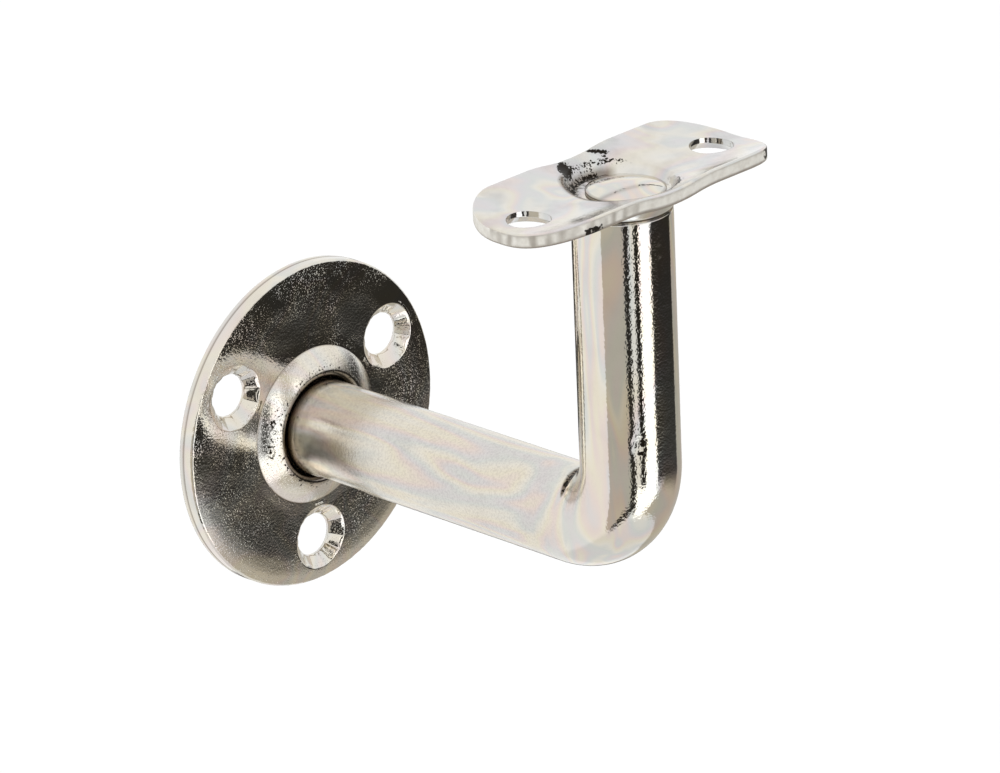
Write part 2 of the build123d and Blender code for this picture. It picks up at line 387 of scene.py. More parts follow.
# Colours of the plating and of the sheared edge, the near-black of grime and painted shade, and the brown
# of painted shade
PLATING = srgb(0.89, 0.875, 0.845)
SADDLE_PLATING = srgb(0.88, 0.872, 0.858)
EDGE_COLOUR = srgb(0.93, 0.92, 0.89)
EDGE_MOTTLE = srgb(0.62, 0.58, 0.52)
GRIME_AND_SHADE = srgb(0.13, 0.11, 0.085)
SHADE = srgb(0.40, 0.34, 0.27)
CLOUD = srgb(0.88, 0.87, 0.88)
GRIME_AND_SHADE_ROUGHNESS = 0.35
SATIN_ROUGHNESS = 0.2
SPECKLE = 0.6
EDGE_METALLIC = 0.25
EDGE_SPECULAR = 0.2
EDGE_ROUGHNESS = (0.4, 0.6)
EDGE_MOTTLE_SHARE = 0.35

# Noise of each look: scale, detail, roughness and distortion, then the part of it that counts
CLOUD_NOISE = (160.0, 4.0, 0.6)
CLOUD_RANGE, GLOSS_RANGE = (0.45, 0.75), (0.35, 0.65)
SPECKLE_NOISE, SPECKLE_RANGE = (3000.0, 2.0), (0.42, 0.68)
# Ragged edges of the near-black patches, which are grime on the plate and painted shade on the arm and
# round the saddle's dish
GRIME_AND_SHADE_NOISE, GRIME_AND_SHADE_NOISE_RANGE, GRIME_AND_SHADE_JAGS, GRIME_AND_SHADE_LIMITS = (2600.0, 3.0), (0.3, 0.7), 0.38, (0.4, 0.6)
EDGE_NOISE, EDGE_MOTTLE_RANGE, EDGE_GLOSS_RANGE = (900.0, 3.0), (0.35, 0.75), (0.3, 0.7)
SWIRL_NOISE = (70.0, 2.0, 0.45, 0.8)
STREAM_NOISE = (150.0, 2.0, 0.4, 0.5)
# The film's streaks on the bar: how much longer than wide, and where the leg's turn to the run's
FILM_STRETCH = 0.2
RUN_ENDS = (-0.060, -0.046)
# Thin film: how many orders of colour it runs through, and the colours of one order
FILM_ORDERS = 6.0
FILM_STOPS = (
    (0.00, srgb(1.00, 0.99, 0.95)),
    (0.22, srgb(1.00, 0.97, 0.87)),
    (0.40, srgb(0.98, 0.90, 0.89)),
    (0.58, srgb(0.90, 0.895, 0.94)),
    (0.78, srgb(0.88, 0.92, 0.93)),
    (1.00, srgb(1.00, 0.99, 0.95)),
)
# Layers of the grain: noise scale, height in metres, level below which it stays flat, and
# whether it lies only on the peel
GRAIN_DETAIL = 1.0
PLATE_GRAIN = ((3000.0, 0.000012, 0.0, False), (4800.0, 0.00007, 0.59, True))
ARM_GRAIN = ((450.0, 0.00001, 0.0, False), (3400.0, 0.000006, 0.0, False), (3000.0, 0.00002, 0.0, True))
SADDLE_GRAIN = ((600.0, 0.00002, 0.0, False), (3000.0, 0.000012, 0.0, False))
EDGE_GRAIN = ((900.0, 0.00003, 0.0, False),)


class Nodes:
    """A node tree, with short ways to add nodes and to link them."""

    def __init__(self, tree):
        self.tree = tree
        tree.nodes.clear()

    def add(self, kind, **settings):
        node = self.tree.nodes.new(kind)
        for name, value in settings.items():
            setattr(node, name, value)
        return node

    def feed(self, socket, value):
        if isinstance(value, bpy.types.NodeSocket):
            self.tree.links.new(value, socket)
        else:
            socket.default_value = value

    def painted(self, name):
        """A number that is painted on the piece."""
        return self.add("ShaderNodeAttribute", attribute_name=name).outputs["Fac"]

    def math(self, operation, *values):
        node = self.add("ShaderNodeMath", operation=operation)
        for socket, value in zip(node.inputs, values):
            self.feed(socket, value)
        return node.outputs[0]

    def step(self, value, low, high):
        """0 below low, 1 above high and smooth between them."""
        node = self.add("ShaderNodeMapRange", interpolation_type="SMOOTHSTEP")
        self.feed(node.inputs["Value"], value)
        node.inputs["From Min"].default_value = low
        node.inputs["From Max"].default_value = high
        return node.outputs["Result"]

    def spread(self, value, low, high, to_low, to_high):
        """Value taken linearly from one range to another, and kept inside it."""
        node = self.add("ShaderNodeMapRange", clamp=True)
        self.feed(node.inputs["Value"], value)
        for socket, number in zip(list(node.inputs)[1:5], (low, high, to_low, to_high)):
            self.feed(socket, number)
        return node.outputs["Result"]

    def mix(self, factor, first, second, blend="MIX"):
        node = self.add("ShaderNodeMix", data_type="RGBA", blend_type=blend)
        sockets = {socket.identifier: socket for socket in node.inputs}
        self.feed(sockets["Factor_Float"], factor)
        self.feed(sockets["A_Color"], first)
        self.feed(sockets["B_Color"], second)
        return next(socket for socket in node.outputs if socket.type == "RGBA")

    def noise(self, vector, scale, detail=2.0, roughness=0.5, distortion=0.0):
        node = self.add("ShaderNodeTexNoise")
        self.feed(node.inputs["Vector"], vector)
        node.inputs["Scale"].default_value = scale
        node.inputs["Detail"].default_value = detail
        node.inputs["Roughness"].default_value = roughness
        node.inputs["Distortion"].default_value = distortion
        return node.outputs["Fac"]

    def ramp(self, factor, stops):
        """Colour ramp with stops of position and colour."""
        node = self.add("ShaderNodeValToRGB")
        elements = node.color_ramp.elements
        while len(elements) < len(stops):
            elements.new(0.5)
        for element, (position, colour) in zip(elements, stops):
            element.position = position
            element.color = colour
        self.feed(node.inputs["Fac"], factor)
        return node.outputs["Color"]


def white_with_patches(nodes):
    """Even white surroundings with the patches laid over them."""
    direction = nodes.add("ShaderNodeTexCoord").outputs["Generated"]
    split = nodes.add("ShaderNodeSeparateXYZ")
    nodes.feed(split.inputs[0], direction)
    azimuth = nodes.math("ARCTAN2", split.outputs["Y"], split.outputs["X"])
    elevation = nodes.math("ARCSINE", split.outputs["Z"])
    colour = (WHITE, WHITE, WHITE, 1.0)
    for _, (turn, rise), (half_turn, half_rise), soft, climb, lean, value in SURROUNDINGS:
        away = nodes.math("SUBTRACT", azimuth, math.radians(turn))
        away = nodes.math("WRAP", away, -math.pi, math.pi)
        up = nodes.math("SUBTRACT", elevation, math.radians(rise))
        away_line = nodes.math("SUBTRACT", away, nodes.math("MULTIPLY", up, lean))
        up_line = nodes.math("SUBTRACT", up, nodes.math("MULTIPLY", away, climb))
        beside = nodes.step(nodes.math("ABSOLUTE", away_line), *margin(half_turn, soft[0]))
        above = nodes.step(nodes.math("ABSOLUTE", up_line), *margin(half_rise, soft[1]))
        outside = nodes.math("MAXIMUM", beside, above)
        tone = tuple(value * share for share in (WARM if value < WARM_BELOW else (1, 1, 1)))
        colour = nodes.mix(outside, (*tone, 1.0), colour)
    return colour


def margin(half, soft):
    """Start and end, in radians, of the soft margin of a patch."""
    return math.radians(half - soft), math.radians(half + soft)


def light_world():
    """World that lights the part: white studio walls with dark and grey screens."""
    world = bpy.data.worlds.new("studio")
    bpy.context.scene.world = world
    world.use_nodes = True
    nodes = Nodes(world.node_tree)
    background = nodes.add("ShaderNodeBackground")
    nodes.feed(background.inputs["Color"], white_with_patches(nodes))
    output = nodes.add("ShaderNodeOutputWorld")
    nodes.feed(output.inputs["Surface"], background.outputs[0])


def make_camera():
    """Camera at the viewing angle of the photograph."""
    turn, rise, roll = (math.radians(a) for a in (CAMERA_AZIMUTH, CAMERA_ELEVATION, CAMERA_ROLL))
    back = Vector((math.sin(turn) * math.cos(rise), -math.cos(turn) * math.cos(rise), math.sin(rise)))
    level = Vector((math.cos(turn), math.sin(turn), 0))
    upright = back.cross(level)
    right = math.cos(roll) * level + math.sin(roll) * upright
    up = math.cos(roll) * upright - math.sin(roll) * level
    place = Vector(CAMERA_AIM) + CAMERA_DISTANCE * back
    place = place + CAMERA_SHIFT_RIGHT * right + CAMERA_SHIFT_UP * up
    data = bpy.data.cameras.new("camera")
    data.lens = LENS
    data.sensor_width = SENSOR_WIDTH
    data.clip_start, data.clip_end = CAMERA_CLIP
    camera = bpy.data.objects.new("camera", data)
    turned = Matrix((right, up, back)).transposed().to_4x4()
    camera.matrix_world = Matrix.Translation(place * MM) @ turned
    bpy.context.scene.collection.objects.link(camera)
    bpy.context.scene.camera = camera


class Surface:
    """Collects grids of points, in millimetres, into one mesh."""

    def __init__(self):
        self.points = []
        self.faces = []
        self.count = 0

    def grid(self, rows, wrap=False):
        """Quads between rows of points. With wrap, each row closes on itself."""
        rows = np.asarray(rows, float)
        high, wide = rows.shape[:2]
        self.points.append(rows.reshape(-1, 3))
        across = np.arange(wide if wrap else wide - 1)
        beside = (across + 1) % wide
        for row in range(high - 1):
            here = self.count + row * wide
            there = here + wide
            quads = np.stack([here + across, here + beside, there + beside, there + across], -1)
            self.faces.extend(quads.tolist())
        self.count += high * wide

    def fan(self, centre, ring):
        """Triangles from one centre point to a closed ring."""
        ring = np.asarray(ring, float)
        wide = len(ring)
        self.points.append(np.vstack([ring, centre]))
        for i in range(wide):
            self.faces.append([self.count + i, self.count + (i + 1) % wide, self.count + wide])
        self.count += wide + 1

    def build(self, name):
        """One closed, smooth object, in metres, with its doubled points merged."""
        mesh = bpy.data.meshes.new(name)
        mesh.from_pydata((np.vstack(self.points) * MM).tolist(), [], self.faces)
        work = bmesh.new()
        work.from_mesh(mesh)
        bmesh.ops.remove_doubles(work, verts=work.verts, dist=MERGE_DISTANCE)
        bmesh.ops.recalc_face_normals(work, faces=work.faces)
        work.to_mesh(mesh)
        work.free()
        mesh.polygons.foreach_set("use_smooth", [True] * len(mesh.polygons))
        piece = bpy.data.objects.new(name, mesh)
        bpy.context.scene.collection.objects.link(piece)
        return piece


def new_metal(name):
    """Material with a shader that is joined to its output."""
    material = bpy.data.materials.new(name)
    material.use_nodes = True
    nodes = Nodes(material.node_tree)
    shader = nodes.add("ShaderNodeBsdfPrincipled")
    output = nodes.add("ShaderNodeOutputMaterial")
    nodes.feed(output.inputs["Surface"], shader.outputs[0])
    return material, nodes, shader


def make_floor():
    """Pale floor well below the part, for a wall bracket stands on nothing."""
    surface = Surface()
    level = cad_box[0].z / MM - FLOOR_DROP
    angles = np.linspace(0, FULL_TURN, FLOOR_CORNERS, endpoint=False)
    ring = [(FLOOR_RADIUS * math.cos(a), FLOOR_RADIUS * math.sin(a), level) for a in angles]
    surface.fan((0, 0, level), ring)
    floor = surface.build("floor")
    material, _, shader = new_metal("floor")
    shader.inputs["Base Color"].default_value = (FLOOR_TONE, FLOOR_TONE, FLOOR_TONE, 1)
    shader.inputs["Roughness"].default_value = FLOOR_ROUGHNESS
    floor.data.materials.append(material)
    floor.visible_glossy = False


def stretched(nodes, place, stretch):
    """Noise whose blots are drawn out along an axis."""
    longer = nodes.add("ShaderNodeVectorMath", operation="MULTIPLY")
    nodes.feed(longer.inputs[0], place)
    longer.inputs[1].default_value = stretch
    return nodes.noise(longer.outputs[0], *STREAM_NOISE)


def film_along_bar(nodes, place):
    """Thickness of the film in streaks along the bar, on its run and on its leg."""
    split = nodes.add("ShaderNodeSeparateXYZ")
    nodes.feed(split.inputs[0], place)
    on_run = nodes.step(split.outputs["Y"], *RUN_ENDS)
    leg = stretched(nodes, place, (1.0, 1.0, FILM_STRETCH))
    run = stretched(nodes, place, (1.0, FILM_STRETCH, 1.0))
    return nodes.spread(on_run, 0.0, 1.0, leg, run)


def film_colour(nodes, thickness, base, depth):
    """Base colour with the bands of a thin rainbow film, as strong as its depth."""
    bands = nodes.math("FRACT", nodes.math("MULTIPLY", thickness, FILM_ORDERS))
    rainbow = nodes.ramp(bands, FILM_STOPS)
    return nodes.mix(depth, base, nodes.mix(1.0, base, rainbow, "MULTIPLY"))


def grime_and_shade_share(nodes, place):
    """Ragged patches, 0 or 1, where the piece is near-black: grime, and painted shade in creases, pits,
    cracks and along edges.
    """
    noise_level = nodes.noise(place, *GRIME_AND_SHADE_NOISE)
    jags = nodes.spread(noise_level, *GRIME_AND_SHADE_NOISE_RANGE, -GRIME_AND_SHADE_JAGS, GRIME_AND_SHADE_JAGS)
    return nodes.step(nodes.math("ADD", nodes.painted("grime_and_shade"), jags), *GRIME_AND_SHADE_LIMITS)


def relief(nodes, place, layers):
    """Normal of the fine relief, from the layers of a grain."""
    peel = nodes.painted("peel")
    normal = None
    for scale, height, least, only_peel in layers:
        bump = nodes.add("ShaderNodeBump")
        bump.inputs["Distance"].default_value = height
        level = nodes.spread(nodes.noise(place, scale, GRAIN_DETAIL), least, 1.0, 0.0, 1.0)
        if only_peel:
            level = nodes.math("MULTIPLY", level, peel)
        nodes.feed(bump.inputs["Height"], level)
        if normal is not None:
            nodes.feed(bump.inputs["Normal"], normal)
        normal = bump.outputs[0]
    return normal


def plated(name, base, grain, film, gloss, cloudy, along_bar=False):
    """Bright plated steel: fine grain, uneven gloss, grime, painted shade and a faint rainbow film."""
    material, nodes, shader = new_metal(name)
    shader.inputs["Metallic"].default_value = 1.0
    place = nodes.add("ShaderNodeTexCoord").outputs["Object"]
    thickness = film_along_bar(nodes, place) if along_bar else nodes.noise(place, *SWIRL_NOISE)
    clouds = nodes.noise(place, *CLOUD_NOISE)
    satin = nodes.painted("satin")
    speckle = nodes.spread(nodes.noise(place, *SPECKLE_NOISE), *SPECKLE_RANGE, 0.0, 1.0)
    speckle = nodes.math("MULTIPLY", speckle, nodes.math("MULTIPLY", satin, SPECKLE))
    mottle = nodes.math("ADD", nodes.spread(clouds, *CLOUD_RANGE, 0.0, cloudy), speckle)
    metal = nodes.mix(mottle, base, nodes.mix(1.0, base, CLOUD, "MULTIPLY"))
    # The shade attribute browns the colour as painted shade; the grime attribute darkens it to
    # near-black, for grime and for painted shade
    clean = nodes.mix(nodes.painted("shade"), film_colour(nodes, thickness, metal, film), SHADE)
    dark_share = grime_and_shade_share(nodes, place)
    nodes.feed(shader.inputs["Base Color"], nodes.mix(dark_share, clean, GRIME_AND_SHADE))
    roughness = nodes.spread(clouds, *GLOSS_RANGE, *gloss)
    roughness = nodes.math("ADD", roughness, nodes.math("MULTIPLY", satin, SATIN_ROUGHNESS))
    nodes.feed(shader.inputs["Roughness"], nodes.spread(dark_share, 0.0, 1.0, roughness, GRIME_AND_SHADE_ROUGHNESS))
    nodes.feed(shader.inputs["Normal"], relief(nodes, place, grain))
    return material


def sheared(name, base):
    """Cut edge of a sheet: matt, with fine streaks across it, grime and painted shade."""
    material, nodes, shader = new_metal(name)
    shader.inputs["Metallic"].default_value = EDGE_METALLIC
    shader.inputs["Specular IOR Level"].default_value = EDGE_SPECULAR
    place = nodes.add("ShaderNodeTexCoord").outputs["Object"]
    streaks = nodes.noise(place, *EDGE_NOISE)
    mottle = nodes.spread(streaks, *EDGE_MOTTLE_RANGE, 0.0, EDGE_MOTTLE_SHARE)
    # Brown from the shade attribute is painted shade and streaks; near-black is grime and painted shade
    clean = nodes.mix(nodes.painted("shade"), nodes.mix(mottle, base, EDGE_MOTTLE), SHADE)
    nodes.feed(shader.inputs["Base Color"], nodes.mix(grime_and_shade_share(nodes, place), clean, GRIME_AND_SHADE))
    nodes.feed(shader.inputs["Roughness"], nodes.spread(streaks, *EDGE_GLOSS_RANGE, *EDGE_ROUGHNESS))
    nodes.feed(shader.inputs["Normal"], relief(nodes, place, EDGE_GRAIN))
    return material


def paint(piece, name, rule):
    """Keeps a number from 0 to 1 on each vertex of a piece, which its metal's nodes read."""
    mesh = piece.data
    places = np.empty(len(mesh.vertices) * 3)
    mesh.vertices.foreach_get("co", places)
    values = np.clip(rule(*(places.reshape(-1, 3).T / MM)), 0, 1)
    mesh.attributes.new(name, "FLOAT", "POINT").data.foreach_set("value", values)


def blot(x, y, middle, halves, slant):
    """Round patch: 1 in its middle and 0 at its rim."""
    cos, sin = math.cos(math.radians(slant)), math.sin(math.radians(slant))
    along = ((x - middle[0]) * cos + (y - middle[1]) * sin) / halves[0]
    across = ((y - middle[1]) * cos - (x - middle[0]) * sin) / halves[1]
    return np.clip(1 - along**2 - across**2, 0, 1)


def degrees_signed(degrees):
    """The same direction, from -180 to 180 degrees."""
    return (degrees + 180) % 360 - 180


def sector(turn, middle, half):
    """1 inside a sector of directions, in degrees, and 0 outside, with a soft change."""
    away = np.abs(degrees_signed(turn - middle))
    return np.clip((half - away) / SECTOR_FADE + 0.5, 0, 1)


def bump_at(distance, width):
    """Smooth hill of height 1 and of that half width."""
    return np.exp(-((distance / width) ** 2))


def soft_line(distance, middle, half, strength):
    """Soft line where the distance reaches its middle."""
    return strength * bump_at(distance - middle, half)


def band(distance, middle, half, strength):
    """Line with an even top and steep sides."""
    return strength * np.clip(BAND_TOP - np.abs(distance - middle) / half, 0, 1)


def ripple(place, size, seed):
    """Soft noise from -1 to 1 at places in millimetres, the same on each run."""
    shift = Vector([seed * step for step in SEED_STEPS])
    points = np.stack(np.broadcast_arrays(*place), -1)
    values = [noise.noise(Vector(point) / size + shift) for point in points.reshape(-1, 3)]
    return np.reshape(values, points.shape[:-1])


def mixed(first, last, shares):
    """Rows of points between two others, at these shares of the way."""
    return [first * (1 - share) + last * share for share in shares]


def even(level):
    """Rule for a face that lies at one level."""
    return lambda first, second: level + 0 * first


def directions(away):
    """Angles of flat points seen from their centre, and a unit circle's points there."""
    angles = np.arctan2(away[:, 1], away[:, 0])
    return angles, np.stack([np.cos(angles), np.sin(angles)], -1)


def bar_line(along):
    """Point on the bar's centre line, and the direction from it to the inside of the bend."""
    if along < RUN_LENGTH:
        return np.array([0, -SEAT_HEIGHT - along, 0]), np.array([0, 0, 1.0])
    turn = min((along - RUN_LENGTH) / BEND_RADIUS, math.pi / 2)
    rise = max(0.0, along - RUN_LENGTH - BEND_LENGTH)
    inward = np.array([0, math.sin(turn), math.cos(turn)])
    middle = np.array([0, BEND_RADIUS - LEG_DISTANCE, BEND_RADIUS])
    return middle - BEND_RADIUS * inward + np.array([0, 0, rise]), inward


def bar_ring(along, radius, angles):
    """Ring of points round the bar. Angle 0 faces the inside of the bend, a quarter turn -X."""
    centre, inward = bar_line(along)
    side = np.array([-1.0, 0, 0])
    out = np.outer(np.cos(angles), inward) + np.outer(np.sin(angles), side)
    return centre + out * np.reshape(radius, (-1, 1))


def bar_marks(along, degrees):
    """How far the marks on the bar lower or raise its surface, in millimetres."""
    marks = np.zeros_like(degrees)
    off = np.radians(degrees_signed(degrees - GRIP_ANGLE))
    flat = BAR_RADIUS - (BAR_RADIUS - GRIP_DEPTH) / np.maximum(np.cos(off), GRIP_LEAST_COSINE)
    marks -= np.maximum(flat, 0) * (GRIP_START < along < GRIP_START + GRIP_LENGTH)
    around = np.radians(degrees_signed(degrees)) * BAR_RADIUS
    for (start, beside), (length, width), depth, seed in DENTS:
        away = np.hypot((along - start) / length, (around - beside) / width)
        rag = 1 + DENT_RAG * ripple((along, around, 0.0), DENT_RIPPLE, seed)
        marks -= depth * np.exp(-(away**2)) * rag
    share = crease_share(along, around)
    if np.any(share > 0):
        wrinkles = ripple((along, CREASE_STRETCH * around, 0.0), *CREASE_RIPPLE)
        marks -= CREASE_DEPTH * share * (1 + CREASE_WRINKLE * wrinkles)
    return marks


def crease_share(along, around):
    """From 0 to 1: the wrinkled wedge at the inside of the bend, from its top to its tip."""
    (top_along, top_around), (tip_along, tip_around) = CREASE_TOP, CREASE_TIP
    run = (around - top_around) / (tip_around - top_around)
    middle = top_along + run * (tip_along - top_along)
    half = CREASE_HALF * np.clip(CREASE_POINT - run, 0, 1)
    start = np.clip((run - CREASE_START) / CREASE_START_FADE, 0, 1)
    end = np.clip((CREASE_END - run) / CREASE_END_FADE, 0, 1)
    depth = CREASE_STEEP * (1 - np.abs(along - middle) / np.maximum(half, CREASE_LEAST_HALF))
    return start * end * np.clip(depth, 0, 1)


def bar_place(x, y, z):
    """How far along and how far round the bar a point lies, in millimetres."""
    middle_y, middle_z = BEND_RADIUS - LEG_DISTANCE, BEND_RADIUS
    behind, below = np.minimum(y - middle_y, 0), np.minimum(z - middle_z, 0)
    turn = np.arctan2(-behind, -below)
    turn = np.where(y > middle_y, 0, np.where(z > middle_z, math.pi / 2, turn))
    bend_out = BEND_RADIUS - np.hypot(behind, below)
    inward = np.where(y > middle_y, z, np.where(z > middle_z, y + LEG_DISTANCE, bend_out))
    along = np.maximum(-SEAT_HEIGHT - y, 0)
    along = np.where(y > middle_y, along, RUN_LENGTH + turn * BEND_RADIUS)
    along = along + np.where((y <= middle_y) & (z > middle_z), z - middle_z, 0)
    return along, np.arctan2(-x, inward) * BAR_RADIUS


def arm_dark_shade(x, y, z):
    """Where the arm is near-black with painted shade: in the crease, in the pit, and along the crack of
    its head.
    """
    along, around = bar_place(x, y, z)
    grime_and_shade = ARM_CREASE_DARK_SHADE * np.sqrt(crease_share(along, around))
    for (start, beside), (length, width) in SPOTS:
        away = np.hypot((along - start) / length, (around - beside) / width)
        grime_and_shade = np.maximum(grime_and_shade, SPOT_DARK_SHADE * bump_at(away, 1.0))
    return np.where(z > HEAD_TOP_FROM, crack(x, y + LEG_DISTANCE), grime_and_shade)


def crack(x, y):
    """Painted shade along a wandering crack across the head in the saddle's dish."""
    line = CRACK_POINT[1] + CRACK_SLOPE * (x - CRACK_POINT[0])
    line = line + CRACK_BEND * np.maximum(x - CRACK_BEND_FROM, 0) ** 2
    line = line + CRACK_WANDER * ripple((x, y, 0.0), *CRACK_RIPPLE)
    depth = np.where(x > CRACK_DEEP_FROM, CRACK_DEEP, CRACK_SHALLOW)
    return (np.abs(x) < CRACK_REACH) * depth * bump_at(y - line, CRACK_HALF)


def arm_peel(x, y, z):
    """Where the arm's plating is rough: a strip up the leg and bend, and a belt near the wall."""
    along, around = bar_place(x, y, z)
    turn = np.degrees(around / BAR_RADIUS)
    leg = sector(turn, *LEG_PEEL_SECTOR) * np.clip((along - RUN_LENGTH) / LEG_PEEL_FADE, 0, 1)
    return np.maximum(leg, soft_line(along, *BELT_PEEL) * sector(turn, *BELT_SECTOR))


def arm_shade(x, y, z):
    """Where the arm is brown with painted shade: in the collar's mouth, its crease, under its shoulder
    and on its head.
    """
    along, around = bar_place(x, y, z)
    seat = np.clip((SEAT_SHADE_END - along) / SEAT_SHADE_FADE, 0, MOUTH_DARKEST)
    seat = seat * (y < -SEAT_HEIGHT - PLAY)
    crease = np.clip(CREASE_BROWN * crease_share(along, around), 0, CREASE_DARKEST)
    bar = np.maximum(np.maximum(seat, crease), soft_line(along, *SHOULDER_SHADE))
    y = y + LEG_DISTANCE
    rim = soft_line(np.hypot(x - HEAD_SHIFT[0], y - HEAD_SHIFT[1]), *HEAD_RIM_SHADE)
    furrow = soft_line(y + FURROW_SLOPE * x, *FURROW_SHADE) * (x < FURROW_END)
    return np.where(z > HEAD_FROM, np.maximum(rim, furrow), bar)


def arm_satin(x, y, z):
    """Where the arm's plating is satin: on the run, beside the inner bend and on the head."""
    along, around = bar_place(x, y, z)
    run = RUN_SATIN * np.clip((RUN_LENGTH + RUN_SATIN_PAST - along) / RUN_SATIN_FADE, 0, 1)
    (place, beside), (length, width) = CORNER_SATIN_PLACE, CORNER_SATIN_HALVES
    corner = bump_at(np.hypot((along - place) / length, (np.abs(around) - beside) / width), 1.0)
    return np.where(z > TROUGH_FLOOR, HEAD_SATIN, np.maximum(run, corner))


def dome(radius, height, edge):
    """Radius and height of a low domed head, from its rim to its top."""
    rise = height - edge
    sphere = (radius**2 + rise**2) / (2 * rise)
    spread = np.linspace(math.asin(radius / sphere), 0, DOME_ROWS)
    return [(sphere * math.sin(a), height - sphere * (1 - math.cos(a))) for a in spread]


def head_rows(radius, height, foot):
    """Rows of a riveted head and its spigot as (radius, height above the shoulder)."""
    rim = [(foot, 0.0), (foot, SHEET), (radius - HEAD_BREAK, SHEET), (radius, SHEET + HEAD_BREAK)]
    crown = [(r, SHEET + h) for r, h in dome(radius - BESIDE, height, HEAD_EDGE)]
    return rim + [(radius, SHEET + HEAD_EDGE - BESIDE)] + crown


def head_shift(height):
    """Shift of a row of the upper end: that of its head above the sheet, and none below."""
    return HEAD_SHIFT if height > SHEET - PLAY else 0 * HEAD_SHIFT


def make_arm():
    """Bent bar with its two riveted ends, as one closed skin."""
    angles = np.linspace(0, FULL_TURN, AROUND_BAR, endpoint=False)
    chamfer = [(BAR_RADIUS - SHOULDER_CHAMFER, 0.0), (BAR_RADIUS - BESIDE, SHOULDER_CHAMFER - BESIDE)]
    wall_end = head_rows(WALL_HEAD_RADIUS, WALL_HEAD_HEIGHT, WALL_SPIGOT_RADIUS)[::-1]
    saddle_end = head_rows(SADDLE_HEAD_RADIUS, SADDLE_HEAD_HEIGHT, SADDLE_SPIGOT_RADIUS)
    rows = [bar_ring(-height, radius, angles) for radius, height in wall_end[1:] + chamfer]
    for along in np.linspace(SHOULDER_CHAMFER, BAR_LENGTH - SHOULDER_CHAMFER, ALONG_BAR):
        rows.append(bar_ring(along, BAR_RADIUS + bar_marks(along, np.degrees(angles)), angles))
    upper_end = [(radius, -height) for radius, height in chamfer[::-1]] + saddle_end[:-1]
    for radius, height in upper_end:
        rows.append(bar_ring(BAR_LENGTH + height, radius, angles) + head_shift(height))
    surface = Surface()
    surface.grid(rows, wrap=True)
    surface.fan(bar_line(-wall_end[0][1])[0], rows[0])
    surface.fan(bar_line(BAR_LENGTH + saddle_end[-1][1])[0] + HEAD_SHIFT, rows[-1])
    return surface.build("arm_skin")


def arc_through(first, middle, last, steps):
    """Points on the circular arc through three points of a section."""
    (ax, ay), (bx, by), (cx, cy) = first, middle, last
    double = 2 * (ax * (by - cy) + bx * (cy - ay) + cx * (ay - by))
    squares = [x * x + y * y for x, y in (first, middle, last)]
    x = (squares[0] * (by - cy) + squares[1] * (cy - ay) + squares[2] * (ay - by)) / double
    y = (squares[0] * (cx - bx) + squares[1] * (ax - cx) + squares[2] * (bx - ax)) / double
    radius = math.hypot(ax - x, ay - y)
    start, halfway, end = (math.atan2(q - y, p - x) for p, q in (first, middle, last))
    sweep = (end - start) % FULL_TURN
    if (halfway - start) % FULL_TURN > sweep:
        sweep -= FULL_TURN
    turns = start + sweep * np.linspace(0, 1, steps)
    return [(x + radius * math.cos(t), y + radius * math.sin(t)) for t in turns]


def round_corner(centre, radius, first, last, steps):
    """Points on an arc of a section, between two angles in degrees."""
    turns = np.radians(np.linspace(first, last, steps))
    return [(centre[0] + radius * math.cos(t), centre[1] + radius * math.sin(t)) for t in turns]


def face_level(x, z):
    """Distance from the wall to the plate's pressed face, with its slight waves."""
    radius = np.hypot(x, z)
    inside = np.clip((radius - CREASE_RADIUS) / FACE_WAVE_FADE, 0, 1)
    inside = inside * np.clip((FACE_END - radius) / FACE_WAVE_FADE, 0, 1)
    slow, fine = (ripple((x, 0.0, z), size, seed) for size, seed in FACE_RIPPLES)
    fall = (radius - PLATE_RADIUS + RIM_FRONT_ROUND + RIM_FALL_WIDTH) / RIM_FALL_WIDTH
    waves = FACE_WAVE * inside * (1 + (slow + FINE_RIPPLE * fine))
    return PLATE_DEPTH - waves - RIM_FALL * np.clip(fall, 0, 1) ** 2


def lay(flat, level):
    """Points of a flat grid of x and z, put on one face of the plate."""
    flat = np.asarray(flat)
    x, z = flat[..., 0], flat[..., 1]
    return np.stack([x, -level(x, z), z], -1)


def turned(radius, degrees):
    """Flat points at that radius in those directions."""
    angle = np.radians(degrees)
    return np.stack([radius * np.cos(angle), radius * np.sin(angle)], -1)


def faceted(radius, angles, seed):
    """Radius of an uneven many-sided outline, as a chattering cutter leaves it."""
    picks = np.random.default_rng(seed)
    shifts = picks.uniform(-FACET_UNEVEN, FACET_UNEVEN, FACET_COUNT)
    corners = (np.arange(FACET_COUNT) + shifts) * FULL_TURN / FACET_COUNT
    corners = np.append(corners, corners[0] + FULL_TURN)
    away = (angles - corners[0]) % FULL_TURN + corners[0]
    found = np.searchsorted(corners, away, side="right") - 1
    found = np.clip(found, 0, FACET_COUNT - 1)
    middle = (corners[found] + corners[found + 1]) / 2
    half = (corners[found + 1] - corners[found]) / 2
    return radius * np.cos(half) / np.cos(away - middle)


def patch_outline(middle, inner, outer):
    """Closed outline of the patch round one screw hole, in x and z."""
    low, high = middle - PATCH_HALF_ANGLE, middle + PATCH_HALF_ANGLE
    along = np.linspace(low, high, PATCH_COLUMNS)
    radii = np.linspace(inner, outer, PATCH_ROWS)
    return np.vstack([
        turned(inner, along[:-1]),
        turned(radii[:-1], high),
        turned(outer, along[::-1][:-1]),
        turned(radii[::-1][:-1], low),
    ])


